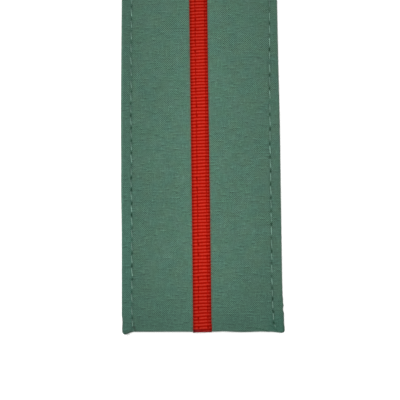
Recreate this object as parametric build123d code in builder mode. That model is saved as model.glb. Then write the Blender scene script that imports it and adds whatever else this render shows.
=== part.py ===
from build123d import *
import os

# Shoulder board lying face up. Millimetres. +Y points to the collar end, +X to the right edge
# when the collar end is away from the viewer, and the board rests on Z = 0.

# The board's outline, seen from above
board_width = 50.0
board_length = 140.0
tip_width = 18.0  # straight edge across the collar end
tip_drop = 12.0  # length over which the two oblique edges narrow to it
corner_radius = 0.8

# The face cloth with its board inside
cover_thickness = 1.6  # along the edges
crown_rise = 0.6  # how much the middle stands above the edges
edge_roll = 0.65  # rounding where the cloth turns over the edge
seam_inset = 3.2  # from the edge to the line of stitches
channel_width = 0.8  # the seam presses this wide a channel into the cloth
channel_depth = 0.25

# Small bulges of folded cloth at the two lower corners
tuck_length = 2.9
tuck_radius = 0.65
corner_tucks = [
    {"side": -1, "below": 0.8, "beside": 0.0},
    {"side": 1, "below": 0.3, "beside": 0.4},
]

# The grosgrain ribbon down the middle
ribbon_width = 5.6
ribbon_thickness = 1.0
ribbon_proud = 0.45  # how far it stands above the cloth
ribbon_end_proud = 0.4  # how far it stands past the board's ends
ribbon_turn = 1.0  # radius of its middle line where it turns over an end
ribbon_shift = -0.35  # it is sewn a little off the middle

# The cloth that closes the back
back_thickness = 1.0
back_inset = 1.5  # its folded edge lies this far inside the board's edge
back_roll = 0.35

# The strap on the back, sewn down at both ends and loose between them
strap_width = 16.0
strap_thickness = 1.0
strap_from_end = 9.0  # from the board's lower end to the strap's
strap_from_post = 12.0  # from the strap's upper end to the button's post
strap_roll = 0.3

# The button: dome, post and foot in one piece
button_from_tip = 11.0  # from the collar end to the post
button_diameter = 14.0
button_rim = 1.2  # height of the rim below the dome
button_rise = 4.8  # whole height above the ribbon
post_diameter = 3.0
foot_diameter = 7.0
foot_thickness = 0.7
button_edge = 0.2  # small bevels

# Room between pieces
seat_gap = 0.1  # between faces that lie on each other
post_gap = 0.2  # round the post
overrun = 5.0  # how far cutting shapes run past what they cut

# Levels, from the surface that the board rests on upwards
back_level = strap_thickness + seat_gap
foot_top = back_level - seat_gap
foot_level = foot_top - foot_thickness
cover_level = back_level + back_thickness + seat_gap
edge_top = cover_level + cover_thickness
crown_top = edge_top + crown_rise
ribbon_top = crown_top + ribbon_proud
button_level = ribbon_top + seat_gap
button_top = button_level + button_rise

# Places along and across the board
half_width = board_width / 2
half_length = board_length / 2
post_y = half_length - button_from_tip
post_hole = post_diameter / 2 + post_gap
strap_start = strap_from_end - half_length
strap_end = post_y - strap_from_post


def board_outline(inset, lengthened=0):
    """Six-sided outline of the board, moved in by inset, its lower end lengthened."""
    lower_end = -half_length - lengthened
    with BuildSketch() as outline:
        with BuildLine():
            Polyline(
                (-half_width, lower_end),
                (half_width, lower_end),
                (half_width, half_length - tip_drop),
                (tip_width / 2, half_length),
                (-tip_width / 2, half_length),
                (-half_width, half_length - tip_drop),
                close=True,
            )
        make_face()
        offset(amount=-inset, kind=Kind.INTERSECTION)
        fillet(outline.vertices(), radius=corner_radius)
    return outline.sketch


def crowned_form(sink):
    """Long round-backed form whose top is the face cloth's crown, lowered by sink."""
    radius = (half_width**2 + crown_rise**2) / (2 * crown_rise)
    top = crown_top - sink
    with BuildPart() as form:
        with BuildSketch(Plane.XZ):
            with Locations((0, top - radius)):
                Circle(radius)
            with Locations((0, top)):
                Rectangle(board_width + 2 * overrun, 2 * overrun, mode=Mode.INTERSECT)
        extrude(amount=half_length + overrun, both=True)
    return form.part


def ribbon_band(width, thickness):
    """Band that runs over the face and turns under both ends, with the ribbon's middle line."""
    high = ribbon_top - ribbon_thickness / 2
    low = cover_level - ribbon_proud + ribbon_thickness / 2 - seat_gap
    end = half_length + ribbon_end_proud - ribbon_thickness / 2
    tail = half_length - back_inset + seat_gap + ribbon_thickness - thickness
    with BuildPart() as band:
        with BuildSketch(Plane.YZ.offset(ribbon_shift - width / 2)):
            with BuildLine():
                FilletPolyline(
                    (-tail, low),
                    (-end, low),
                    (-end, high),
                    (end, high),
                    (end, low),
                    (tail, low),
                    radius=ribbon_turn,
                )
            trace(line_width=thickness)
        extrude(amount=width)
    return band.part


# Channel pressed by the seam along the long and oblique edges, which runs out at the lower end
with BuildPart() as seam_channel:
    with BuildSketch(Plane.XY.offset(edge_top - overrun)):
        add(board_outline(seam_inset - channel_width / 2, seam_inset + overrun))
        add(board_outline(seam_inset + channel_width / 2, seam_inset + overrun), mode=Mode.SUBTRACT)
    extrude(amount=2 * overrun)
    add(crowned_form(channel_depth), mode=Mode.SUBTRACT)

# Face cloth over its board, with a shallow bed for the ribbon
with BuildPart() as cloth_cover:
    with BuildSketch(Plane.XY.offset(cover_level)):
        add(board_outline(0))
    extrude(amount=cover_thickness + crown_rise + overrun)
    add(crowned_form(0), mode=Mode.INTERSECT)
    fillet(cloth_cover.faces().sort_by(Axis.Z)[-1].edges(), radius=edge_roll)
    fillet(cloth_cover.faces().sort_by(Axis.Z)[0].edges(), radius=edge_roll)
    for tuck in corner_tucks:
        middle_x = tuck["side"] * (half_width + tuck["beside"] - tuck_length / 2)
        middle_y = -(half_length + tuck["below"] - tuck_radius)
        middle_z = cover_level + cover_thickness / 2
        with Locations(Location((middle_x, middle_y, middle_z), (0, 90, 0))):
            Cylinder(tuck_radius, tuck_length - 2 * tuck_radius)
        for way in (-1, 1):
            with Locations((middle_x + way * (tuck_length / 2 - tuck_radius), middle_y, middle_z)):
                Sphere(tuck_radius)
    add(seam_channel.part, mode=Mode.SUBTRACT)
    add(ribbon_band(ribbon_width + 2 * seat_gap, ribbon_thickness + 2 * seat_gap), mode=Mode.SUBTRACT)
    with Locations((0, post_y, edge_top)):
        Cylinder(post_hole, 2 * overrun, mode=Mode.SUBTRACT)

# Ribbon over the face, turned under at both ends
with BuildPart() as stripe_ribbon:
    add(ribbon_band(ribbon_width, ribbon_thickness))
    with Locations((0, post_y, ribbon_top)):
        Cylinder(post_hole, 2 * overrun, mode=Mode.SUBTRACT)

# Cloth that closes the back
with BuildPart() as back_cloth:
    with BuildSketch(Plane.XY.offset(back_level)):
        add(board_outline(back_inset))
    extrude(amount=back_thickness)
    fillet(back_cloth.faces().sort_by(Axis.Z)[0].edges(), radius=back_roll)
    with Locations((0, post_y, back_level)):
        Cylinder(post_hole, 2 * overrun, mode=Mode.SUBTRACT)

# Strap flat against the back; a garment's shoulder loop slips under its loose middle
with BuildPart() as under_strap:
    with BuildSketch():
        with Locations((0, (strap_start + strap_end) / 2)):
            Rectangle(strap_width, strap_end - strap_start)
    extrude(amount=strap_thickness)
    fillet(under_strap.edges().filter_by(Axis.Y), radius=strap_roll)

# Button with its post and foot, turned about the post's line
with BuildPart() as button:
    with BuildSketch(Plane.XZ.offset(-post_y)):
        with BuildLine():
            Polyline(
                (0, button_top),
                (0, foot_level),
                (foot_diameter / 2 - button_edge, foot_level),
                (foot_diameter / 2, foot_level + button_edge),
                (foot_diameter / 2, foot_top),
                (post_diameter / 2, foot_top),
                (post_diameter / 2, button_level),
                (button_diameter / 2 - button_edge, button_level),
                (button_diameter / 2, button_level + button_edge),
                (button_diameter / 2, button_level + button_rim),
            )
            TangentArc(
                (0, button_top),
                (button_diameter / 2, button_level + button_rim),
                tangent=(1, 0),
            )
        make_face()
    revolve(axis=Axis((0, post_y, 0), (0, 0, 1)))

cloth_cover.part.label = "cloth_cover"
stripe_ribbon.part.label = "stripe_ribbon"
back_cloth.part.label = "back_cloth"
under_strap.part.label = "under_strap"
button.part.label = "button"

os.makedirs("parts", exist_ok=True)
export_step(cloth_cover.part, "parts/cloth_cover.step")
export_step(stripe_ribbon.part, "parts/stripe_ribbon.step")
export_step(back_cloth.part, "parts/back_cloth.step")
export_step(under_strap.part, "parts/under_strap.step")
export_step(button.part, "parts/button.step")
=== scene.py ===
import bmesh
import bpy
import numpy as np
from mathutils import Matrix


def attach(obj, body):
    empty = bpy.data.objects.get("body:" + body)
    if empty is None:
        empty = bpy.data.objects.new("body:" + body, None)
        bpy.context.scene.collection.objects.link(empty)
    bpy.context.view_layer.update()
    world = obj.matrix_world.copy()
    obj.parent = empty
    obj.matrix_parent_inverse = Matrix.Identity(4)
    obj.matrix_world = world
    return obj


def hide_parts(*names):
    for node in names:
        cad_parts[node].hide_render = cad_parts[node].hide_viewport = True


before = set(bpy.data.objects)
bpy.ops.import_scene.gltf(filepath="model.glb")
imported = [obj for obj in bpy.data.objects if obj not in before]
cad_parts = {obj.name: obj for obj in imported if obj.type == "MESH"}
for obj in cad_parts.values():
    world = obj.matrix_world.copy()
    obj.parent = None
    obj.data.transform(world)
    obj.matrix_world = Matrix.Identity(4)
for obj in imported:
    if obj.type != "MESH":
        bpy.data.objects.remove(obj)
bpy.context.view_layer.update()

chance = np.random.default_rng(11)

# Lengths are in millimetres until a piece's mesh is made. +Y points to the collar end.
MM = 0.001
MERGE_DISTANCE, LEAST_EDGE = 2e-6, 1e-7  # in metres, where points of a mesh meet

# The board
HALF_WIDTH, HALF_LENGTH = 25.0, 70.0
OBLIQUE_Y, TIP_X = 58.0, 9.0  # where the collar end's oblique edges begin, and where they end
OBLIQUE_NORMAL = 0.6, 0.8  # how much an oblique edge faces sideways, and how much to the end
OUTLINE = [
    (-HALF_WIDTH, -HALF_LENGTH), (HALF_WIDTH, -HALF_LENGTH), (HALF_WIDTH, OBLIQUE_Y),
    (TIP_X, HALF_LENGTH), (-TIP_X, HALF_LENGTH), (-HALF_WIDTH, OBLIQUE_Y),
]
CORNER_RADIUS = 0.8
COVER_LEVEL, EDGE_TOP, CROWN_RISE = 2.2, 3.8, 0.6
EDGE_TURN = 0.8  # width over which the cloth turns down at an edge
FACE_SPACING, BACK_SPACING = 0.3, 0.45  # from one point of a ring to the next

# The seam inside its edges
SEAM_INSET, LEFT_SEAM_INSET = 3.2, 3.25
SEAM_START_Y = -69.4  # lower end of the left side
SLANT_Y, SLANT_END = -67.15, (22.35, -69.2)  # the right side's lower end slants outwards
SLANT_SLOPE, SLANT_LENGTH = 0.3, 2.14
SIDE_X = 15.0  # further from the middle than this, the seam runs along the board
CHANNEL_DEPTH, CHANNEL_WIDTH = 0.24, 0.42

# Its stitches, from hole to hole, and the holes
LEFT_STITCH, RIGHT_STITCH, LAST_RIGHT_STITCH = 4.0, 4.27, 3.61
FIRST_HOLE_Y, LEFT_HOLE_Y, RIGHT_HOLE_Y = -69.2, -65.7, -52.7  # the last two begin even steps
ERROR_ALONG, ERROR_ACROSS = 0.13, 0.05  # spread of the hand's errors
HOLE_DEPTH, HOLE_LENGTH, HOLE_WIDTH = 0.42, 0.62, 0.2

# Its threads
STITCH_RADIUS = 0.19
STITCH_STEP = 7.0  # each thread's own length coordinate starts this much after the one before
STITCH_HIGHLIGHT, HIGHLIGHT_LOSS = 1.17, 0.34  # lightness of a stitch's painted highlight at its start, and what it loses
HIGHLIGHT_RUN = 0.3, 2.8  # between these places along it

# The ribbon
RIBBON_WIDTH, RIBBON_HALF_THICKNESS = 5.7, 0.2
RIBBON_MIDDLE = 4.62  # level of its middle line over the face
RIBBON_END, RIBBON_TAIL_END = -70.0, -68.2  # where it turns down, and where it ends underneath
RIBBON_TURN, RIBBON_LOW = 0.7, 1.95  # radius of its turns, and level of its tail
RIB_PITCH, RIB_HEIGHT = 1.053, 0.12
RIB_WAVES = [  # size, length and start of each sine by which the ribs drift
    (0.085, 87.1, -2.87), (0.088, 36.2, -1.02), (0.055, 26.0, 2.68), (0.038, 18.3, -2.66),
]
NEEDLE_PITCH, NEEDLE_Y = 3.165, -14.9  # from one needle hole to the next, and the place of one
LEFT_LINE, RIGHT_LINE = -1.08, 1.75  # its two sewing lines
RIBBON_THREAD_RADIUS = 0.14

# The back
BACK_INSET, BACK_LEVEL, BACK_THICKNESS, BACK_TURN = 1.5, 1.1, 1.0, 0.5
STRAP_HALF_WIDTH, STRAP_THICKNESS, STRAP_START, STRAP_END = 8.0, 1.0, -61.0, 47.0
STRAP_TURN, STRAP_DRAWN_IN = 0.45, 0.5
STRAP_LINE_X = 6.4  # its two long lines of stitches
STRAP_CROSS_LINES = [STRAP_START + 1.6, STRAP_START + 7.0, STRAP_END - 1.6, STRAP_END - 7.0]
STRAP_THREAD_RADIUS = 0.16

# The button
POST_Y, BUTTON_LEVEL, BUTTON_TOP = 59.0, 4.95, 9.75
BEAD_MIDDLE, BEAD_RADIUS, DOME_RADIUS, DOME_RAISED = 6.45, 0.55, 6.0, 1.0

# Starts of frayed threads at the lower end, and the way that each one runs
FRAYED_CLOTH = [[24.9, -69.9, 2.6], [-23.6, -70.9, 2.9]], [[-0.9, -0.4, 0.1], [1.2, 0.25, 0.2]]
FRAYED_RIBBON = (
    [[-2.8, -70.1, 3.3], [-1.5, -70.15, 3.0]],
    [[0.0, -0.3, -0.5], [0.2, -0.3, -0.55]],
)
FRAYED_CLOTH_RADIUS, FRAYED_RIBBON_RADIUS = 0.045, 0.07

# Materials
YARN, RIBBON_YARN = 0.32, 0.19  # from one yarn to the next
LIGHT = 0.66  # share of the display's full white that a white surface would reach beside the board


def ease(value, start, end):
    """Rises from 0 at start to 1 at end along 3t^2 - 2t^3, flat beyond both."""
    t = np.clip((value - start) / (end - start), 0, 1)
    return t * t * (3 - 2 * t)


def bell(value, width):
    """Bell curve exp(-(value / width)^2)."""
    return np.exp(-((value / width) ** 2))


# Meshes


def make_piece(name, finish, points, uv, marks=None, replaces=(), slot=None):
    """One object from grids of points, shape (grids, rows, columns, 3), in millimetres.

    Neighbouring points of a grid share a four-sided face. Points that meet at a seam or a pole are
    merged, faces are turned outwards by the sign of the enclosed volume, and uv and marks, numbers
    per point, are stored for its finish. It replaces the named solids. The slot is not used.
    """
    points = np.asarray(points, float)
    grids, rows, columns, _ = points.shape
    index = np.arange(grids * rows * columns).reshape(grids, rows, columns)
    row, next_row = index[:, :-1], index[:, 1:]
    quads = np.stack([row[..., :-1], row[..., 1:], next_row[..., 1:], next_row[..., :-1]], -1)
    quads = quads.reshape(-1, 4)
    mesh = bpy.data.meshes.new(name)
    mesh.from_pydata(points.reshape(-1, 3) * MM, [], quads)
    layer = mesh.uv_layers.new(name="threads")
    layer.uv.foreach_set("vector", uv.reshape(-1, 2)[quads.ravel()].astype(np.float32).ravel())
    for mark, values in (marks or {}).items():
        attribute = mesh.attributes.new(mark, "FLOAT", "POINT")
        attribute.data.foreach_set("value", values.astype(np.float32).ravel())
    work = bmesh.new()
    work.from_mesh(mesh)
    bmesh.ops.remove_doubles(work, verts=work.verts, dist=MERGE_DISTANCE)
    bmesh.ops.dissolve_degenerate(work, edges=work.edges, dist=LEAST_EDGE)
    if work.calc_volume(signed=True) < 0:
        bmesh.ops.reverse_faces(work, faces=work.faces)
    work.to_mesh(mesh)
    work.free()
    mesh.shade_smooth()
    piece = bpy.data.objects.new(name, mesh)
    bpy.context.scene.collection.objects.link(piece)
    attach(piece, "root")
    if replaces:
        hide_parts(*replaces)
    mesh.materials.append(finish)
    return piece


def outline_rings(insets, spacing):
    """Rings round the board's outline, one for each inset, shape (rings, points, 2).

    A ring is the outline moved inwards by its inset. Each corner moves along its bisector,
    (n1 + n2) / (1 + n1.n2) for the inward normals n1 and n2 beside it, and is rounded by an arc
    between the two normals. Straight sides are divided evenly, and the first point comes again
    at the end. A ring on the middle line of the board has no arcs, so both its sides meet.
    """
    corners = np.array(OUTLINE, float)
    insets = np.asarray(insets, float)[:, None]
    radius = np.minimum(CORNER_RADIUS, HALF_WIDTH - insets)
    sides = np.roll(corners, -1, 0) - corners
    lengths = np.hypot(*sides.T)
    inward = np.stack([-sides[:, 1], sides[:, 0]], 1) / lengths[:, None]
    before = np.roll(inward, 1, 0)
    bisectors = (before + inward) / (1 + (before * inward).sum(1))[:, None]
    centres = corners + ((insets + radius)[:, :, None] * bisectors)
    parts = []
    for i, length in enumerate(lengths):
        start = np.arctan2(-before[i, 1], -before[i, 0])
        turn = (np.arctan2(-inward[i, 1], -inward[i, 0]) - start) % (2 * np.pi)
        angles = start + turn * np.linspace(0, 1, 7)
        arc = np.stack([np.cos(angles), np.sin(angles)], -1)
        parts.append(centres[:, i, None] + radius[:, :, None] * arc)
        share = np.linspace(0, 1, int(length / spacing) + 1)[1:-1, None]
        first = parts[-1][:, -1:]
        last = centres[:, (i + 1) % len(corners), None] - radius[:, :, None] * inward[i]
        parts.append(first + (last - first) * share)
    rings = np.concatenate(parts + [parts[0][:, :1]], 1)
    rings[insets[:, 0] >= HALF_WIDTH, :, 0] = 0
    return rings


def face_level(x):
    """Level of the crowned face: a parabola across the board, highest in the middle."""
    return EDGE_TOP + CROWN_RISE * (1 - (x / HALF_WIDTH) ** 2)


def right_seam_inset(y):
    """The right seam comes 0.72 mm nearer to its edge on the way up, as a bell curve.

    Near the lower end it lies 0.05 mm further in.
    """
    return SEAM_INSET - 0.72 * bell(y - 38, 26) + 0.05 * ease(-y, 61, 66.5)


def seam_route():
    """Corner points of the seam, up the left side, round the collar end and down the right."""
    left = -HALF_WIDTH + LEFT_SEAM_INSET
    tip = HALF_LENGTH - SEAM_INSET
    y = np.linspace(55.9, SLANT_Y, 60)
    right = np.stack([HALF_WIDTH - right_seam_inset(y), y], 1)
    turn = [(left, SEAM_START_Y), (left, 56.44), (-7.93, tip), (7.93, tip)]
    return np.concatenate([turn, right, [SLANT_END]])


def along_route(route, distances):
    """Points at the given distances along a broken line, and its direction there."""
    steps = np.diff(route, axis=0)
    gone = np.concatenate([[0], np.cumsum(np.hypot(*steps.T))])
    reach = 0.3
    points, ahead, behind = (
        np.stack([np.interp(distances + shift, gone, route[:, i]) for i in (0, 1)], -1)
        for shift in (0, reach, -reach)
    )
    way = ahead - behind
    return points, way / np.hypot(*way.T)[:, None]


def leftwards(ways):
    """The given directions, turned a quarter to the left."""
    return np.stack([-ways[:, 1], ways[:, 0]], 1)


def needle_holes():
    """Needle holes of the seam and the seam's direction at each, with the hand's small errors.

    Each side has an even step, shortened on the right near the lower end. The left holes are
    0.38 mm higher from 22 mm above the lower end on. In the lower half of the right side the holes
    have slipped down by 0.88 mm, and above the middle they are 0.32 mm higher.
    """
    route = seam_route()
    length = np.hypot(*np.diff(route, axis=0).T).sum()
    left_y = np.concatenate([[FIRST_HOLE_Y], LEFT_HOLE_Y + LEFT_STITCH * np.arange(31)])
    left = left_y - SEAM_START_Y + 0.38 * ease(left_y, -58, -48)
    above, below = RIGHT_STITCH * np.arange(26), LAST_RIGHT_STITCH * np.arange(1, 5)
    right_y = np.concatenate([RIGHT_HOLE_Y + above, RIGHT_HOLE_Y - below])
    slipped = ease(right_y, -48, -44.5) * (1 - ease(right_y, -14, -2))
    right_y = right_y - 0.88 * slipped + 0.32 * ease(right_y, 0, 5)
    right = length - SLANT_LENGTH - (right_y - SLANT_Y)
    top = np.linspace(left[-1], right.min(), 13)[1:-1]
    distances = np.sort(np.concatenate([left, top, right, [length]]))
    distances[1:-1] += chance.normal(0, ERROR_ALONG, len(distances) - 2)
    points, ways = along_route(route, distances)
    errors = chance.normal(0, ERROR_ACROSS, len(points))[:, None]
    return points + leftwards(ways) * errors, ways


holes, hole_ways = needle_holes()

# Holes are shallower up the left side, faint at both ends and deep where the last thread starts
hole_depths = np.clip(chance.normal(0.85, 0.24, len(holes)), 0.45, 1.2)
hole_depths *= 1 - 0.3 * (holes[:, 0] < 0) * ease(holes[:, 1], -10, 25)
hole_depths[[0, -1]] = 0.35
hole_depths[-2] = 1.1


def seam_offset(x, y):
    """Distance inwards from the seam: the least of the distances past each of its sides."""
    across, along = OBLIQUE_NORMAL
    return np.minimum.reduce([
        x + HALF_WIDTH - LEFT_SEAM_INSET,
        HALF_WIDTH - x - right_seam_inset(y) + SLANT_SLOPE * np.maximum(SLANT_Y - y, 0),
        across * (HALF_WIDTH - np.abs(x)) + along * (OBLIQUE_Y - y) - SEAM_INSET,
        HALF_LENGTH - SEAM_INSET - y,
    ])


def near_holes(x, y, along, across):
    """Depth of the nearest needle hole, about 1 in its middle: a bell long in the seam's way."""
    flat = np.stack([x.ravel(), y.ravel()], -1)
    found = np.zeros(len(flat))
    close = np.abs(seam_offset(*flat.T)) < 3 * across
    apart = flat[close][:, None] - holes
    forward = (apart * hole_ways).sum(-1)
    sideways = apart[..., 0] * -hole_ways[:, 1] + apart[..., 1] * hole_ways[:, 0]
    found[close] = (bell(forward, along) * bell(sideways, across) * hole_depths).max(1)
    return found.reshape(x.shape)


def creases(x, y):
    """Folds of the turned cloth near the two lower corners: a bell across a slanting line at each.

    From the right one a shallow fold, broken by a sine, runs on along the hem.
    """
    left_width = 0.3 + 0.2 * ease(-y, 67.5, 69)
    left = bell(x + 21.85 - 0.3 * (-66.6 - y), left_width) * ease(-y, 65.8, 69.0) * (x < 0)
    right = bell(x - 20.75 - 1.15 * (-68.1 - y), 0.36) * ease(-y, 67.5, 68.4) * (x > 0)
    hem = bell(y + 69.0 + 0.2 * (x - 16.3), 0.2) * (ease(x, 15.4, 16.4) - ease(x, 19.8, 20.6))
    return left + 0.8 * right + hem * (0.95 + 0.5 * np.sin(6.6 * x))


def corner_shade(x, y):
    """Painted shade of the lower corners: the left one's hanging wedge and the right one's rim."""
    left = (ease(-x, 20.8, 22.2) - ease(-x, 24.1, 24.9)) * ease(-y, 68.2, 69.9)
    right = ease(x, 24.0, 24.8) * ease(-y, 67.2, 68.4)
    right = right + 0.6 * ease(x, 23.0, 24.2) * ease(-y, 69.2, 69.9)
    return 0.5 * left + 0.52 * np.minimum(right, 1)


def puckers(x, y):
    """Slanting ripples beside the seam, one to a stitch: a cosine along it under a bell across."""
    offset = seam_offset(x, y)
    way = np.where(np.abs(x) > SIDE_X, y, x)
    wave = np.cos(2 * np.pi * (way - 0.7 * offset) / LEFT_STITCH + 2.1 * np.sin(way / 9.0))
    return wave * bell(offset - 0.5, 1.5)


def settled(points):
    """Moves points of the board off its straight outline, as the sewn cloth has settled.

    The long edges bow outwards as bell curves along the board, the right one a third as much as
    the left. Near the lower end the right edge spreads outwards in small eased steps and the left
    one is drawn in. The hem is cut a little out of square, in low waves, and its left corner hangs
    down as a wedge whose underside sinks a little.
    """
    x, y, z = np.moveaxis(np.array(points, float), -1, 0)
    left, right = ease(-x, 8, 22), ease(x, 8, 22)
    end = ease(-y, 66.5, 70.2)
    spread = 0.05 * ease(-y, 55, 57) + 0.09 * ease(-y, 58.7, 59.4) + 0.24 * ease(-y, 63.2, 64.3)
    spread = spread + 0.16 * ease(-y, 67.4, 68.6) - 0.15 * ease(y, -5, 20)
    spread = spread + 0.17 * bell(y + 61.8, 0.5) * ease(x, 23.5, 25)
    wedge = ease(-x, 21.4, 24.3)
    bowed = 0.3 * bell(y, 28) + 0.09 * bell(y + 26, 7) + 0.05 * ease(y, 8, 25)
    moved_x = x - left * bowed + 0.1 * right * bell(y, 30) + right * spread
    tucked = 0.17 * ease(-y, 64.8, 66.6) - 0.08 * bell(y + 68.6, 0.7) + 0.1 * ease(-y, 69, 70.4)
    moved_x = moved_x + left * tucked
    hem = 0.1 * bell(x - 6.4, 1.8) - 0.09 * bell(x - 12.3, 2.2) + 0.08 * bell(x - 17.8, 1.5)
    hem = hem - 0.055 - 0.14 * ease(x, 21.0, 22.6) - 0.15 * ease(x, 22.6, 23.8) - 0.83 * wedge
    moved_y = y - 0.0079 * x * ease(-y, 30, 70) + hem * end
    sunk = 0.075 * wedge * end * (z < COVER_LEVEL + 1.2)
    return np.stack([moved_x, moved_y, z - sunk], -1)


def face_cover():
    """The face cloth as a closed shell of rings.

    Over the face it follows the crown, less the channel of the seam, a bell curve across it, less
    the dips at the needle holes and the folds at the corners, plus the ripples beside the seam and
    a slow swell, a product of sines. At an edge it turns down along half an ellipse as high as the
    board is thick, and it closes underneath. The yarns' own coordinates run on over the edge by
    the length of the turn. The mark is the painted shade of the holes, folds and lower corners.
    """
    face = np.concatenate([
        [25, 23.4, 22.2, 20.5, 18.5, 16.5, 14.5, 12.5, 10.5, 8.8, 7.4, 6.2, 5.3, 4.7, 4.25, 3.95],
        np.arange(3.78, 1.85, -0.14),  # across the seam
        [1.7, 1.5, 1.3, 1.1, 0.95],
    ])
    turn = np.linspace(0, np.pi, 13)
    under = np.array([1.5, 3, 6, 10, 15, 20, 25])
    insets = np.concatenate([face, EDGE_TURN * (1 - np.sin(turn)), under])
    beneath = 2 * EDGE_TURN - EDGE_TURN * np.pi - under
    unrolled = np.concatenate([face, EDGE_TURN * (1 - turn), beneath])
    tilt = np.concatenate([np.zeros(len(face)), turn, np.full(len(under), np.pi)])[:, None]
    x, y = np.moveaxis(outline_rings(insets, FACE_SPACING), -1, 0)
    top = face_level(x)
    z = (top + COVER_LEVEL) / 2 + np.cos(tilt) * (top - COVER_LEVEL) / 2
    upper = ease(np.cos(tilt), -0.2, 0.9)
    pits = near_holes(x, y, HOLE_LENGTH, HOLE_WIDTH) * upper
    swell = np.sin(x / 3.1 + 1.7 * np.sin(y / 7.3)) * np.sin(y / 5.3 + x / 9.0)
    channel = CHANNEL_DEPTH * bell(seam_offset(x, y), CHANNEL_WIDTH)
    z = z - upper * channel - HOLE_DEPTH * pits
    folds = creases(x, y) * upper
    # Painted shade in the needle holes, the folds and the lower corners
    painted_shade = np.maximum.reduce([pits, 0.59 * folds, corner_shade(x, y)])
    z = z + upper * (0.05 * puckers(x, y) + 0.03 * swell) - 0.28 * folds
    points = settled(np.stack([x, y, z], -1))
    return points[None], outline_rings(unrolled, FACE_SPACING), {"painted_hollow_shade": painted_shade}


def thread_stitches(starts, ends, radius, lift, dip):
    """Short threads from starts to ends, shape (stitches, rows, columns, 3), with their uv.

    A thread's middle line is a flat-topped arch, 1 - t^4 for t from -1 to 1, that dives into the
    cloth at both ends. Round it runs a circle whose radius falls to nothing at the ends.
    """
    t = np.linspace(-1, 1, 9)
    around = np.linspace(0, 2 * np.pi, 7)
    way = ends - starts
    length = np.linalg.norm(way, axis=1)
    way = way / length[:, None]
    side = np.cross(way, [0, 0, 1.0])
    side = side / np.linalg.norm(side, axis=1)[:, None]
    middle = starts[:, None] + (ends - starts)[:, None] * ((t + 1) / 2)[None, :, None]
    middle[..., 2] += lift - dip * t**4
    width = radius * np.sqrt(np.clip(1 - t**10, 0, 1))
    upright = np.sin(around)[:, None] * [0, 0, 1.0]
    ring = np.cos(around)[:, None] * side[:, None, None] + upright
    points = middle[:, :, None] + width[None, :, None, None] * ring
    u = np.broadcast_to((length[:, None] * (t + 1) / 2)[:, :, None], points.shape[:3])
    v = np.broadcast_to(around * radius, points.shape[:3])
    start = STITCH_STEP * np.arange(len(starts))[:, None, None]
    return points, np.stack([u + start, v], -1)


def edge_stitches():
    """The seam's threads over the face, in its channel, each slanting a little from hole to hole.

    Those on the left slant more, start further from their hole and end nearer to the next one.
    Those on the right end further from it. The last one is pulled deeper. Their mark makes each,
    by chance, lighter or darker than usual, and on the right it evens out the loss of the painted
    highlight along it. The last one gets no painted highlight: its length coordinate starts near
    the end of the highlight's run.
    """
    across, place = leftwards(hole_ways), holes[1:, :1]
    left, right = 1.0 * (place < -SIDE_X), 1.0 * (place > SIDE_X)
    starts = holes[:-1] + (0.45 + 0.17 * left) * hole_ways[:-1] - 0.09 * across[:-1]
    short = 0.4 - 0.1 * left + 0.26 * right
    slant = 0.1 * (place > 0) + 0.25 * left
    ends = holes[1:] - short * hole_ways[1:] + slant * across[1:]
    levels = [face_level(places[:, :1]) - CHANNEL_DEPTH for places in (starts, ends)]
    for level in levels:
        level[-1] -= 0.12
    points, uv = thread_stitches(
        np.hstack([starts, levels[0]]), np.hstack([ends, levels[1]]), STITCH_RADIUS, 0.12, 0.45)
    # The mark: each stitch's own tone by chance, and on the right an evening out of the painted
    # highlight
    evened = HIGHLIGHT_LOSS * ease(uv[..., 0] % STITCH_STEP, *HIGHLIGHT_RUN) - 0.22
    tone_and_highlight = np.where(points[..., 0] > SIDE_X, evened, -0.12 * left[:, None])
    tone_and_highlight = tone_and_highlight + np.random.default_rng(5).normal(0, 0.13, (len(tone_and_highlight), 1, 1))
    tone_and_highlight[-1] = 0
    uv[-1, ..., 0] += 2.6
    return settled(points), uv, {"tone_and_highlight": tone_and_highlight}


def back_stitches():
    """The seam's threads on the back, below the back cloth, each from hole to hole."""
    on_back = holes[:, 1] > -67
    places = holes[on_back]
    ways = hole_ways[on_back]
    starts, ends = places[:-1] + 0.2 * ways[:-1], places[1:] - 0.2 * ways[1:]
    level = np.full((len(starts), 1), BACK_LEVEL + 0.2)
    points, uv = thread_stitches(
        np.hstack([starts, level]), np.hstack([ends, level]), STITCH_RADIUS, -0.1, -0.4)
    return settled(points), uv


def back_panel():
    """The back cloth as a closed shell of rings, its folded edge a half circle.

    It is pressed in by a bell curve across the seam and by the needle holes, and has ripples and a
    slow swell like the face's.
    """
    middle = [25, 22, 18, 14, 10.5, 8, 6.4, 5.4, 4.8, 4.3, 3.95]
    flat = np.concatenate([middle, np.arange(3.75, 2.2, -0.17)])
    turn = np.linspace(0, np.pi, 9)
    above = np.array([3, 6, 12, 18, 25])
    insets = np.concatenate([flat, BACK_INSET + BACK_TURN * (1 - np.sin(turn)), above])
    tilt = np.concatenate([np.zeros(len(flat)), turn, np.full(len(above), np.pi)])[:, None]
    unrolled = np.concatenate([flat, BACK_INSET + BACK_TURN * (1 - turn), -0.07 - above])
    x, y = np.moveaxis(outline_rings(insets, BACK_SPACING), -1, 0)
    lower = ease(np.cos(tilt), -0.2, 0.9)
    z = BACK_LEVEL + BACK_THICKNESS / 2 * (1 - np.cos(tilt))
    pits = near_holes(x, y, 0.5, 0.3) * lower
    swell = np.sin(x / 4.1 + 1.3 * np.sin(y / 8.3)) * np.sin(y / 6.1 + x / 7.0)
    rise = 0.2 * bell(seam_offset(x, y), 0.45) + 0.3 * pits + 0.05
    rise = rise + 0.03 * swell + 0.04 * puckers(x, y)
    points = settled(np.stack([x, y, z + lower * rise], -1))
    # The mark is the painted shade in the needle holes
    return points[None], outline_rings(unrolled, BACK_SPACING), {"painted_hollow_shade": pits}


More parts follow.
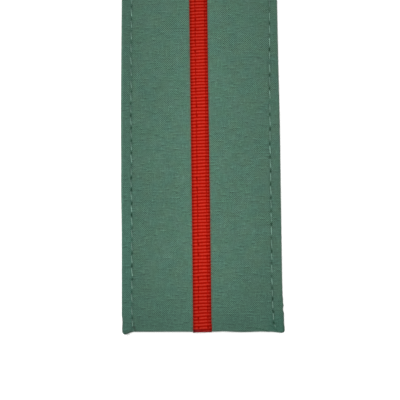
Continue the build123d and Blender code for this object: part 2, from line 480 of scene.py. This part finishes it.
def loop_round(half_width, half_thickness, turn, step, lower_step):
    """Section of a flat band: two straight faces and two half ellipses, as x, level and arc length.

    The level runs from 1 on the upper face to -1 on the lower one, which has its own step.
    """
    straight = half_width - turn
    flat = np.linspace(-1, 1, int(2 * straight / step) + 1) * straight
    angles = np.linspace(0, np.pi, 9)
    lower = np.linspace(1, -1, int(2 * straight / lower_step) + 1)[1:-1] * straight
    right, left = straight + turn * np.sin(angles), -straight - turn * np.sin(angles)
    x = np.concatenate([flat[:-1], right, lower, left])
    above, below = np.ones(len(flat) - 1), -np.ones(len(lower))
    level = np.concatenate([above, np.cos(angles), below, -np.cos(angles)])
    steps = np.hypot(np.diff(x), half_thickness * np.diff(level))
    return x, level, np.concatenate([[0], np.cumsum(steps)]) - straight


def ribbon_path():
    """Middle line of the ribbon in the plane across its width, as y, level, normal and length.

    Straight over the face, a quarter circle down at each end, straight down, a quarter circle
    under, and a short tail that the back cloth covers. Built for one end and mirrored.
    """
    turn = np.linspace(0, np.pi / 2, 9)
    bend = RIBBON_END + RIBBON_TURN
    upper_y = bend - RIBBON_TURN * np.sin(turn)
    upper_z = RIBBON_MIDDLE - RIBBON_TURN + RIBBON_TURN * np.cos(turn)
    lower_y = bend - RIBBON_TURN * np.cos(turn)
    lower_z = RIBBON_LOW + RIBBON_TURN - RIBBON_TURN * np.sin(turn)
    side_z = np.linspace(upper_z[-1], lower_z[0], 8)[1:-1]
    tail_y = np.linspace(bend, RIBBON_TAIL_END, 6)[1:]
    y = np.concatenate([upper_y[1:], np.full(len(side_z), RIBBON_END), lower_y, tail_y])
    z = np.concatenate([upper_z[1:], side_z, lower_z, np.full(len(tail_y), RIBBON_LOW)])
    run = np.arange(bend, -bend + 0.01, RIB_PITCH / 7)
    run = np.linspace(bend, -bend, len(run))
    y = np.concatenate([y[::-1], run, -y])
    z = np.concatenate([z[::-1], np.full(len(run), RIBBON_MIDDLE), z])
    step = np.stack([np.gradient(y), np.gradient(z)], -1)
    step = step / np.hypot(*step.T)[:, None]
    length = np.concatenate([[0], np.cumsum(np.hypot(np.diff(y), np.diff(z)))])
    return y, z, leftwards(step), length


def ribbon_centre(y):
    """Middle of the ribbon across the board. It drifts 0.47 mm left towards the collar end."""
    return -0.03 - 0.47 * ease(y, -70, 50)


def needle_line(y, side):
    """Place across the board of a sewing line on the ribbon, side -1 for the left one.

    Above the middle the right one runs 0.2 mm further out.
    """
    return ribbon_centre(y) + (LEFT_LINE if side < 0 else RIGHT_LINE + 0.2 * ease(y, -30, 15))


def rib_drift(y):
    """How far the ribs run ahead of an even pitch: four slow sines along the ribbon."""
    waves = (size * np.sin(2 * np.pi * y / length + start) for size, length, start in RIB_WAVES)
    return 0.224 + sum(waves)


def grosgrain_ribbon():
    """The ribbon: a flat section carried along its path.

    Its ribs are round cords across it, sqrt(1 - t^2) over one rib, that rise a little to the right
    and stand out more where it turns down. They sink along the two sewing lines, most at each
    needle hole, and end in small loops that make the edges wavy.
    """
    y, z, normal, length = ribbon_path()
    x, level, travel = loop_round(RIBBON_WIDTH / 2, RIBBON_HALF_THICKNESS, 0.22, 0.14, 0.4)
    across, along = np.meshgrid(x, length - length[-1] / 2)
    share = across / (RIBBON_WIDTH / 2)
    board_y = y[:, None]
    wobble = 0.03 * np.sin(along / 1.9 + 3 * share)
    along = along + rib_drift(board_y) - 0.14 * share + 0.05 * share**2 + wobble
    phase = (along / RIB_PITCH) % 1
    cord = np.sqrt(np.clip(1 - (2 * phase - 1) ** 2, 0, 1))
    centre = ribbon_centre(board_y)
    pressed = np.zeros_like(cord)
    for side in (-1, 1):
        apart = across + centre - needle_line(board_y, side)
        # Only the left line wanders
        wander = (side < 0) * (0.3 * np.sin(board_y / 6 - 1) + 0.2 * np.sin(board_y / 2.3 - 1))
        dips = 0.5 + 0.5 * np.cos(2 * np.pi * (board_y - NEEDLE_Y + wander) / NEEDLE_PITCH)
        pressed += bell(apart + 0.3 * wander, 0.36) * (0.12 + 0.88 * dips**3)
    edge = ease(np.abs(share), 0.8, 1.0)
    turned = ease(np.abs(board_y), 69.3, 69.9)
    ribs = RIB_HEIGHT * (cord - 0.8 - 0.1 * turned) * (1 - 0.35 * edge) * (1 + turned)
    offset = level * RIBBON_HALF_THICKNESS + np.clip(level, 0, 1) * (ribs - 0.13 * pressed)
    loops = 0.06 * np.sin(2 * np.pi * phase - 0.8) * np.sin(along / 4.7) ** 2
    loops = loops * np.sign(across) * edge
    spread = 0.15 * np.clip(share, 0, 1) * ease(-board_y, 66, 69.5)
    spread = spread + 0.05 * share * ease(board_y, 10, 34)
    slant = 0.05 * share * ease(-board_y, 67, 70)
    points = np.stack([
        across + loops + spread + centre,
        board_y + slant + normal[:, :1] * offset,
        z[:, None] + normal[:, 1:] * offset,
    ], -1)
    uv = np.stack([np.broadcast_to(travel, across.shape), along], -1)
    closed = points[[0, -1]].mean(1, keepdims=True).repeat(len(x), 1)
    closed[:, :, 0] = ribbon_centre(y[[0, -1], None])
    points = np.concatenate([closed[:1], points, closed[1:]])
    uv, pressed = (np.concatenate([grid[:1], grid, grid[-1:]]) for grid in (uv, pressed))
    return points[None], uv, {"pressed": pressed}


def ribbon_stitches():
    """Two lines of fine thread on the ribbon, one stitch to three ribs."""
    sets = []
    for side in (-1, 1):
        y = np.arange(NEEDLE_Y - 17 * NEEDLE_PITCH, 69, NEEDLE_PITCH)
        y = y + chance.normal(0, 0.06, len(y))
        x = needle_line(y, side) + chance.normal(0, 0.03, len(y))
        place = np.stack([x, y, np.full(len(y), RIBBON_MIDDLE + 0.16)], -1)
        sets.append((place[:-1], place[1:]))
    starts, ends = (np.concatenate(part) for part in zip(*sets))
    return thread_stitches(
        starts + [0, 0.45, 0], ends - [0, 0.35, 0], RIBBON_THREAD_RADIUS, 0.05, 0.3)


def strap_shell():
    """The strap: a flat section carried along the board, closed at both ends.

    Its faces swell between the two lines of stitches, and each end is drawn in over 0.5 mm along a
    quarter circle.
    """
    x, level, travel = loop_round(STRAP_HALF_WIDTH, STRAP_THICKNESS / 2, STRAP_TURN, 0.3, 0.3)
    length = STRAP_END - STRAP_START
    close = np.array([0, 0.04, 0.15, 0.3, 0.45])
    y = np.concatenate([close, np.linspace(0.7, length - 0.7, 260), length - close[::-1]])
    from_end = np.minimum(y, length - y)
    open_share = 1 - np.clip(from_end / STRAP_DRAWN_IN, 0, 1)
    inner = np.sqrt(np.clip(1 - open_share**2, 0, 1))[:, None]
    across, board_y = np.meshgrid(x, y + STRAP_START)
    channel = bell(np.abs(across) - STRAP_LINE_X, 0.35) * ease(from_end, 0.8, 1.4)[:, None]
    for line_y in STRAP_CROSS_LINES:
        crossing = bell(board_y - line_y, 0.35) * (np.abs(across) < STRAP_LINE_X + 0.2)
        channel = np.maximum(channel, crossing)
    swell = 0.05 * np.sin(board_y / 6.3 + across / 5.0) * np.sin(across / 2.7)
    crown = 0.06 * (1 - (across / STRAP_HALF_WIDTH) ** 2)
    half = STRAP_THICKNESS / 2 * inner - 0.06 - 0.14 * channel + crown - 0.5 * np.abs(swell)
    half = np.maximum(half, 0) * (inner > 0)
    z = STRAP_THICKNESS / 2 + level * half
    wide = across - np.sign(across) * 0.3 * (1 - inner) + 0.06 * np.sin(board_y / 4.1)
    uv = np.stack([np.broadcast_to(travel, across.shape), board_y], -1)
    return np.stack([wide, board_y, z], -1)[None], uv


def strap_stitches():
    """Stitches under the strap: a line inside each long edge and two lines across each end."""
    y = np.arange(STRAP_START + 1.6, STRAP_END - 1.5, 2.9)
    lines = [np.stack([np.full(len(y), side * STRAP_LINE_X), y], -1) for side in (-1, 1)]
    x = np.linspace(-STRAP_LINE_X, STRAP_LINE_X, 6)
    lines += [np.stack([x, np.full(len(x), line_y)], -1) for line_y in STRAP_CROSS_LINES]
    starts = np.concatenate([line[:-1] * 0.94 + line[1:] * 0.06 for line in lines])
    ends = np.concatenate([line[:-1] * 0.06 + line[1:] * 0.94 for line in lines])
    level = np.full((len(starts), 1), 0.3)
    return thread_stitches(
        np.hstack([starts, level]), np.hstack([ends, level]), STRAP_THREAD_RADIUS, -0.1, -0.35)


def dress_button():
    """The button, a profile turned about its post: foot, post, flat back, beaded rim and dome.

    The rim's bead is a half circle and the dome half an ellipse that meets it in a shallow groove.
    """
    bead = np.linspace(-np.pi / 2, np.pi / 2, 13)
    dome = np.linspace(0, np.pi / 2, 28)
    foot = [
        (0, 0.3), (2, 0.3), (3.1, 0.3), (3.35, 0.35), (3.5, 0.5), (3.5, 0.8), (3.35, 0.95),
        (3.1, 1.0), (1.8, 1.0), (1.55, 1.06), (1.5, 1.3), (1.5, 4.6), (1.6, 4.9),
        (1.9, BUTTON_LEVEL), (5.5, BUTTON_LEVEL),
    ]
    rim_level = BUTTON_LEVEL + BEAD_RADIUS + BEAD_RADIUS * np.sin(bead)
    rim = np.stack([BEAD_MIDDLE + BEAD_RADIUS * np.cos(bead), rim_level], -1)
    groove = [(6.25, BUTTON_LEVEL + 1.02), (6.12, BUTTON_LEVEL + 0.98)]
    rise = BUTTON_TOP - BUTTON_LEVEL - DOME_RAISED
    cap_level = BUTTON_LEVEL + DOME_RAISED + rise * np.sin(dome)
    cap = np.stack([DOME_RADIUS * np.cos(dome), cap_level], -1)
    profile = np.concatenate([foot, rim, groove, cap])
    around = np.linspace(0, 2 * np.pi, 97)
    radius, level = profile.T[:, :, None]
    x, y = radius * np.cos(around), POST_Y + radius * np.sin(around)
    points = np.stack([x, y, level + 0 * around], -1)
    gone = np.concatenate([[0], np.cumsum(np.hypot(*np.diff(profile, axis=0).T))])
    uv = np.stack(np.broadcast_arrays(around[None] * 5, gone[:, None]), -1)
    return points[None], uv


def stray_threads(starts, ways, radius):
    """Frayed threads: lines bent by a sine in each direction, with a thin circle round each."""
    starts, ways = np.array(starts), np.array(ways)
    t = np.linspace(0, 1, 15)
    around = np.linspace(0, 2 * np.pi, 7)
    order = np.arange(len(starts))[:, None]
    sways = [(0.1, 5, 1), (0.08, 7, 2), (0.12, 4, 3)]
    bend = np.stack([size * np.sin(turns * t + shift * order) for size, turns, shift in sways], -1)
    middle = starts[:, None] + ways[:, None] * t[:, None] + bend
    thin = radius * np.sqrt(np.clip(1 - (2 * t - 1) ** 8, 0, 1))[None, :, None, None]
    ring = np.stack([0 * around, np.cos(around), np.sin(around)], -1)
    points = middle[:, :, None] + thin * ring
    along = t[None, :, None] + 3 * order[:, :, None]
    uv = np.stack(np.broadcast_arrays(along, around[None, None] * 0.1), -1)
    return points, uv


# Materials


class Value:
    """An output of a material's node. Arithmetic on it adds Math nodes."""

    def __init__(self, finish, socket):
        self.finish, self.socket = finish, socket

    def maths(self, operation, *numbers):
        return self.finish.node("Math", {"operation": operation}, dict(enumerate(numbers)))

    def __add__(self, other):
        return self.maths("ADD", self, other)

    def __sub__(self, other):
        return self.maths("SUBTRACT", self, other)

    def __rsub__(self, other):
        return self.maths("SUBTRACT", other, self)

    def __mul__(self, other):
        return self.maths("MULTIPLY", self, other)

    def __pow__(self, other):
        return self.maths("POWER", self, other)

    def __abs__(self):
        return self.maths("ABSOLUTE", self)

    __radd__, __rmul__ = __add__, __mul__

    def sine(self):
        return self.maths("SINE", self)

    def fraction(self):
        return self.maths("FRACT", self)

    def between(self, low, high):
        """0 below low, 1 above high, smooth between."""
        sockets = {"Value": self, "From Min": low, "From Max": high}
        return self.finish.node("MapRange", {"interpolation_type": "SMOOTHSTEP"}, sockets)


class Finish:
    """A material built from nodes round one Principled shader."""

    def __init__(self, name, constants):
        self.material = bpy.data.materials.new(name)
        self.material.use_nodes = True
        self.tree = self.material.node_tree
        self.tree.nodes.clear()
        self.shader = self.tree.nodes.new("ShaderNodeBsdfPrincipled")
        output = self.tree.nodes.new("ShaderNodeOutputMaterial")
        self.tree.links.new(self.shader.outputs[0], output.inputs["Surface"])
        for socket, constant in constants.items():
            self.shader.inputs[socket].default_value = constant

    def node(self, kind, settings=None, sockets=None, out=0):
        """Adds a node, makes its settings, then gives its sockets their values or links."""
        node = self.tree.nodes.new("ShaderNode" + kind)
        for name, setting in (settings or {}).items():
            setattr(node, name, setting)
        for name, given in (sockets or {}).items():
            self.feed(node.inputs[name], given)
        return Value(self, node.outputs[out])

    def feed(self, socket, given):
        """Links a value to a socket, or sets a constant on it."""
        if isinstance(given, Value):
            self.tree.links.new(given.socket, socket)
        else:
            socket.default_value = given

    def mix(self, share, first, second):
        """Colour that goes from first to second as share goes from 0 to 1."""
        sockets = {0: share, 6: first, 7: second}
        return self.node("Mix", {"data_type": "RGBA", "clamp_factor": True}, sockets, out=2)

    def dim(self, colour, strength):
        """The colour times strength."""
        return self.node("VectorMath", {"operation": "SCALE"}, {0: colour, "Scale": strength})

    def threads(self):
        """The piece's own flat coordinates along its yarns, in millimetres."""
        place = self.node("UVMap", {"uv_map": "threads"})
        split = self.node("SeparateXYZ", None, {0: place})
        return split, Value(self, split.socket.node.outputs[1])

    def place(self):
        """Where a point lies on the board, in metres."""
        at = self.node("TexCoord", out="Object")
        split = self.node("SeparateXYZ", None, {0: at})
        return [Value(self, split.socket.node.outputs[i]) for i in range(3)]

    def mark(self, name):
        """The number that the piece stores at its points, 0 where it stores none."""
        return self.node("Attribute", {"attribute_name": name}, out="Fac")

    def noise(self, x, y, seed=0.0, detail=1.0):
        """Smooth noise from 0 to 1 over x and y, one lump to a unit."""
        at = self.node("CombineXYZ", None, {0: x, 1: y, 2: seed})
        sockets = {"Vector": at, "Scale": 1.0, "Detail": detail, "Roughness": 0.5}
        return self.node("TexNoise", None, sockets)

    def joined(self, colour, height, depth, roughness=None):
        """Joins the colour, and a height in units of depth metres as bump, to the shader."""
        self.feed(self.shader.inputs["Base Color"], colour)
        if roughness is not None:
            self.feed(self.shader.inputs["Roughness"], roughness)
        bump = self.node("Bump", None, {"Strength": 1.0, "Distance": depth, "Height": height})
        self.feed(self.shader.inputs["Normal"], bump)
        return self.material


def colour(red, green, blue):
    """Colour of a surface that shows these display levels, 0 to 255, in the scene's light."""
    levels = np.array([red, green, blue]) / 255
    shown = np.where(levels <= 0.04045, levels / 12.92, ((levels + 0.055) / 1.055) ** 2.4)
    return (*(shown * LIGHT), 1.0)


def plain_weave(name, tone, tinted_and_lit):
    """Plain-weave cloth with slubs.

    Warp and weft change places like the sign of sin(u) sin(v); they differ in painted light, and
    the gaps between yarns get painted shade. Each yarn has its own tone, which changes slowly
    along it, and a few thick stretches of yarn stand out, lighter, with a painted shadow beside
    them. Patches are warmer or cooler, and hollows that the piece marks get painted shade. The
    face cloth also changes over the board in tint and painted light.
    """
    finish = Finish(name, {"Roughness": 0.88, "Specular IOR Level": 0.25, "Sheen Weight": 0.08})
    u, v = finish.threads()
    wander = finish.noise(u * 0.35, v * 0.35, 3.0) * 0.3
    weave = (u * (np.pi / YARN) + wander).sine() * (v * (np.pi / YARN) + wander).sine()
    warp_up = weave.between(-0.35, 0.35)
    weft_tone = finish.noise(u * 0.26, v * 2.1, 1.0)
    warp_tone = finish.noise(u * 2.1, v * 0.3, 2.0)
    fleck = finish.noise(u * 3.0, v * 3.0, 4.0)
    slub = finish.noise(u * 0.45, v * 2.1, 5.0).between(0.57, 0.71)
    # The same lumps moved across the yarns: a painted shadow beside each slub
    shade = finish.noise(u * 0.45, v * 2.1 + 0.9, 5.0).between(0.57, 0.71)
    upright = finish.noise(u * 2.4, v * 0.4, 7.0).between(0.56, 0.72)
    warm = finish.noise(u * 0.22, v * 0.22, 9.0, 2.0).between(0.35, 0.65)
    cool = finish.noise(u * 0.22, v * 0.22, 21.0, 2.0).between(0.35, 0.65)
    patch = finish.noise(u * 0.3, v * 0.3, 11.0).between(0.4, 0.65)
    blotch = finish.noise(u * 0.42, v * 0.5, 13.0)
    stripe = finish.noise(u * 0.16, v * 0.05, 15.0)
    knot = finish.noise(u * 2.0, v * 1.7, 19.0).between(0.66, 0.78)
    hollow = finish.noise(u * 1.7, v * 2.2, 17.0).between(0.66, 0.78)
    tone_here = weft_tone * 0.36 + warp_tone * 0.3 + fleck - 0.83
    light = 1.0 + tone_here + slub * 0.26 - shade * 0.26 + upright * 0.2
    light = light + (blotch - 0.5) * 0.24 + (stripe - 0.5) * 0.16 + knot * 0.25 - hollow * 0.22
    # Painted light: warp and weft cells are lit unlike each other, and the gaps between yarns get
    # painted shade
    light = light + (warp_up - 0.5) * (0.15 + 0.55 * patch)
    light = light * (0.94 + 0.06 * abs(weave) ** 0.5)
    tints = [colour(*np.add(tone, (red, 0, blue))) for red in (-2, 2) for blue in (-1.7, 1.7)]
    base = finish.mix(warm, finish.mix(cool, *tints[:2]), finish.mix(cool, *tints[2:]))
    # Colour of the painted shade in hollows
    hollow_shade_colour = colour(8, 64, 41)
    if tinted_and_lit:
        light, base, hollow_shade_colour = face_tint_and_light(finish, warp_up, light, base, hollow_shade_colour)
    height = abs(weave) * 0.6 + slub * 0.5 + tone_here * 0.5
    shaded = finish.mix(finish.mark("painted_hollow_shade").between(0.15, 0.9), finish.dim(base, light), hollow_shade_colour)
    return finish.joined(shaded, height, 0.00006)


def face_tint_and_light(finish, warp_up, light, base, hollow_shade_colour):
    """The face's lightness, colour and colour of hollows, changed by the place on the board.

    It is darker towards the long edges and both ends, a painted fall-off of the light, darker on
    the right edge's rim and a little darker on the left margin, painted shade, and lighter on the
    left edge's rim, a painted highlight. Towards the collar end the weave's painted light shows
    more.
    The lower end, the left margin and the right corner are less red, beside the ribbon there is a
    faint darker red tint, partly painted shade at its edge, and the painted shade in the hollows of
    the left corner is grey.
    """
    x, y, _ = finish.place()
    down, to_left = 0 - y, 0 - x
    # Towards the collar end the weave's painted light and shade show more
    open_weave = y.between(-0.012, 0.02) * abs(x).between(0.001, 0.005)
    light = light + (warp_up - 0.5) * open_weave * 0.45
    # Painted fall-off of the light towards the long edges and both ends
    light = light * (1.02 - abs(x + 0.0003) * 9.2)
    light = light * (1.0 - 0.22 * down.between(0.037, 0.078))
    light = light * (1.0 - 0.07 * y.between(0.0, 0.045))
    # Painted highlight on the left edge's rim and painted shade on the right one's
    painted_rim_light = 1.0 + 0.45 * to_left.between(0.0243, 0.0251) - 0.1 * x.between(0.0243, 0.0252)
    light = light * painted_rim_light
    # More painted fall-off near the lower end, uneven across the board
    side = x.between(0.001, 0.004) - 1.3 * x.between(0.013, 0.017)
    light = light * (1.0 - down.between(0.062, 0.0685) * (0.05 + 0.06 * side))
    base = finish.mix(down.between(0.045, 0.075) * 0.7, base, colour(75, 119, 102))
    margin = to_left.between(0.0212, 0.0222)
    # Painted shade on the left margin
    light = light * (1.0 - margin * (0.04 + 0.05 * y.between(-0.03, 0.0)))
    faded = margin * (0.35 + 0.65 * down.between(0.0, 0.045))
    base = finish.mix(faded, base, colour(76, 123, 107))
    corner = x.between(0.0185, 0.0225) * down.between(0.0625, 0.0675)
    base = finish.mix(corner * 0.6, base, colour(64, 121, 103))
    # A darker red tint beside the ribbon, partly painted shade along its edge
    from_ribbon = abs(x + (0.00003 + 0.00047 * y.between(-0.07, 0.05)))
    ribbon_edge_shade = (1.0 - from_ribbon.between(0.0028, 0.0036)) * 0.4
    base = finish.mix(ribbon_edge_shade, base, colour(124, 80, 66))
    # The painted shade in the hollows of the left corner is grey
    left_corner = down.between(0.0665, 0.068) * to_left.between(0.0, 0.01)
    return light, base, finish.mix(left_corner, hollow_shade_colour, colour(42, 58, 49))


def ribbon_finish():
    """Grosgrain: bright rounded ribs with dark grooves between, and fine yarns along the ribbon.

    It is darker beside its edges, along the sewing lines and towards both ends, where the grooves
    are darkest, all painted shade, and its turned lower end is dull, most on the left. Its bright
    ribs and dark grooves are painted light and shade too.
    """
    finish = Finish("ribbon_grosgrain", {"Roughness": 0.6, "Specular IOR Level": 0.0})
    u, v = finish.threads()
    rib = abs((v * (np.pi / RIB_PITCH)).sine())
    yarn = abs((u * (np.pi / RIBBON_YARN)).sine())
    streak = finish.noise(u * 4.0, v * 0.25, 2.0)
    fleck = finish.noise(u * 2.2, v * 2.4, 4.0)
    light = 0.80 + 0.2 * yarn + (streak - 0.5) * 0.35 + (fleck - 0.5) * 0.5
    pressed = finish.mark("pressed").between(0.25, 0.85)
    # Painted shade in the dips along the sewing lines, most at each needle hole
    light = light * (1.0 - 0.25 * pressed)
    # Painted shade beside the edges
    light = light * (1.0 - 0.42 * abs(u).between(1.7, 2.65))
    x, y, _ = finish.place()
    down, to_left = 0 - y, 0 - x
    # Painted shade on the turned ends, and a painted fall-off of the light towards both ends
    light = light * (1.0 - 0.35 * abs(y).between(0.0687, 0.0702))
    light = light * (1.0 - 0.18 * down.between(0.04, 0.075))
    light = light * (1.0 - 0.12 * y.between(0.0, 0.04))
    # Painted light on the rib crests and painted shade in the grooves and the dips
    painted_rib_light = rib.between(0.3, 1.0) ** 2.2 * (1.0 - 0.9 * pressed)
    base = finish.mix(painted_rib_light, colour(177, 17, 4), colour(214, 55, 42))
    dulled = down.between(0.0692, 0.0702) * (0.16 + 0.26 * to_left.between(0.0002, 0.0014))
    base = finish.mix(dulled, base, colour(136, 66, 84))
    turned = abs(y).between(0.0692, 0.0701)
    # Painted shade deepest in the grooves where the ribbon turns down
    light = light * (1.0 - 0.4 * turned * (1.0 - rib.between(0.1, 0.8)))
    height = yarn * 0.5 + streak * 0.4
    return finish.joined(finish.dim(base, light), height, 0.00004)


def thread_finish(name, tone, twist, shine=0.15):
    """Sewing thread: plies wind round it, so light and height follow a slanting sine.

    Each stitch has a painted highlight near its start, and its mark makes all of it lighter or
    darker.
    """
    finish = Finish(name, {"Roughness": 0.75, "Specular IOR Level": shine})
    u, v = finish.threads()
    ply = (u * (2 * np.pi / twist) + v * 5.3).sine()
    fleck = finish.noise(u * 0.8, v * 0.8, 3.0)
    gone = (u * (1 / STITCH_STEP)).fraction() * STITCH_STEP
    # Painted highlight near the start of each stitch, plus the stitch's own tone from its mark
    tone_and_highlight = STITCH_HIGHLIGHT - HIGHLIGHT_LOSS * gone.between(*HIGHLIGHT_RUN) + finish.mark("tone_and_highlight")
    light = (0.86 + 0.14 * ply + (fleck - 0.5)) * tone_and_highlight
    return finish.joined(finish.dim(colour(*tone)[:3], light), ply, 0.00003)


def brass_finish():
    """Satin brass with fine turning marks round the button and faint tarnish."""
    finish = Finish("button_brass", {"Metallic": 1.0})
    _, v = finish.threads()
    x, y, z = finish.place()
    tarnish = finish.noise(x * 260.0, y * 260.0, 1.0, 3.0)
    turning = finish.noise(v * 14.0, 0.0, 2.0, 2.0)
    low = 1 - z.between(0.0049, 0.0062)
    dull = tarnish.between(0.35, 0.75) * 0.55 + low * 0.3
    base = finish.mix(dull, (0.72, 0.50, 0.18, 1), (0.40, 0.26, 0.09, 1))
    return finish.joined(base, turning, 0.00001, 0.24 + tarnish * 0.2 + turning * 0.06)


def floor_finish():
    """Nearly white floor with a faint grain."""
    finish =Finish("pale_floor", {"Roughness": 0.9, "Specular IOR Level": 0.1})
    x, y, _ = finish.place()
    grain = finish.noise(x * 40.0, y * 40.0, 1.0, 2.0)
    base = finish.mix(grain, (0.96, 0.96, 0.96, 1), (0.98, 0.98, 0.98, 1))
    return finish.joined(base, grain, 0.00001)


# The object

cloth = plain_weave("face_plain_weave", (80, 119, 101.5), True)
back_weave = plain_weave("back_plain_weave", (78, 112, 96), False)
strap_weave = plain_weave("strap_plain_weave", (76, 110, 95), False)
ribbon_weave = ribbon_finish()
edge_thread = thread_finish("edge_thread", (122, 161, 145), 0.55)
ribbon_thread = thread_finish("ribbon_thread", (184, 20, 10), 0.4, 0.0)
frayed_yarn = thread_finish("frayed_ribbon_yarn", (100, 20, 36), 0.3, 0.0)
brass = brass_finish()

for name, finish, grids, node, slot in (
    ("face_cloth", cloth, face_cover(), "cloth_cover", "face_cloth"),
    ("grosgrain_ribbon", ribbon_weave, grosgrain_ribbon(), "stripe_ribbon", "ribbon"),
    ("back_cloth_panel", back_weave, back_panel(), "back_cloth", "back_cloth"),
    ("strap_cloth", strap_weave, strap_shell(), "under_strap", "strap_cloth"),
    ("domed_button", brass, dress_button(), "button", "button_metal"),
):
    make_piece(name, finish, *grids, replaces=[node], slot=slot)

frayed_cloth = stray_threads(*FRAYED_CLOTH, FRAYED_CLOTH_RADIUS)
frayed_ribbon = stray_threads(*FRAYED_RIBBON, FRAYED_RIBBON_RADIUS)
for name, finish, grids, slot in (
    ("face_edge_stitches", edge_thread, edge_stitches(), "face_cloth"),
    ("back_edge_stitches", edge_thread, back_stitches(), "back_cloth"),
    ("ribbon_sewing_lines", ribbon_thread, ribbon_stitches(), "ribbon"),
    ("strap_stitches", edge_thread, strap_stitches(), "strap_cloth"),
    ("frayed_threads", edge_thread, frayed_cloth, "face_cloth"),
    ("frayed_ribbon_yarns", frayed_yarn, frayed_ribbon, "ribbon"),
):
    make_piece(name, finish, *grids, slot=slot)

# Floor, light and camera, placed in metres

bpy.ops.mesh.primitive_plane_add(size=6, location=(0, 0, 0))
floor = bpy.context.object
floor.name = "floor"
floor.data.transform(Matrix.Translation((0, 0, -0.00002)))
floor.data.materials.append(floor_finish())

world = bpy.data.worlds.new("soft_room")
world.use_nodes = True
world.node_tree.nodes["Background"].inputs["Color"].default_value = (0.97, 0.985, 1, 1)
world.node_tree.nodes["Background"].inputs["Strength"].default_value = 0.414
bpy.context.scene.world = world


def looking(eye, back, roll):
    """Placement of a camera or lamp at eye whose back points along back, rolled about it."""
    right = np.cross([0, 1, 0], back)
    right = right / np.linalg.norm(right)
    up = np.cross(back, right)
    placement = np.eye(4)
    placement[:3, 0] = np.cos(roll) * right + np.sin(roll) * up
    placement[:3, 1] = -np.sin(roll) * right + np.cos(roll) * up
    placement[:3, 2], placement[:3, 3] = back, eye
    return Matrix(placement.tolist())


def soft_light(name, place, aim, size, power, tint):
    """Square lamp that faces its aim, in metres and watts."""
    lamp = bpy.data.lights.new(name, "AREA")
    lamp.size, lamp.energy, lamp.color = size, power, tint
    light = bpy.data.objects.new(name, lamp)
    back = np.array(place, float) - aim
    light.matrix_world = looking(np.array(place, float), back / np.linalg.norm(back), 0)
    bpy.context.scene.collection.objects.link(light)


soft_light("key_lamp", (-0.05, -0.13, 1.15), (0, -0.02, 0), 0.5, 16.3, (1, 0.99, 0.975))

CAMERA_AIM, CAMERA_DISTANCE = np.array([-0.42, -28.52, 3.0]) * MM, 0.5
CAMERA_TILT, CAMERA_ROLL = np.radians(9.942), np.radians(-0.4515)
view_back = np.array([0, -np.sin(CAMERA_TILT), np.cos(CAMERA_TILT)])
view_eye = CAMERA_AIM + CAMERA_DISTANCE * view_back
camera_data = bpy.data.cameras.new("camera")
camera_data.lens, camera_data.sensor_width, camera_data.clip_start = 143.06, 36, 0.01
camera = bpy.data.objects.new("camera", camera_data)
camera.matrix_world = looking(view_eye, view_back, CAMERA_ROLL)
bpy.context.scene.collection.objects.link(camera)
bpy.context.scene.camera = camera
bpy.context.scene.view_settings.view_transform = "Standard"
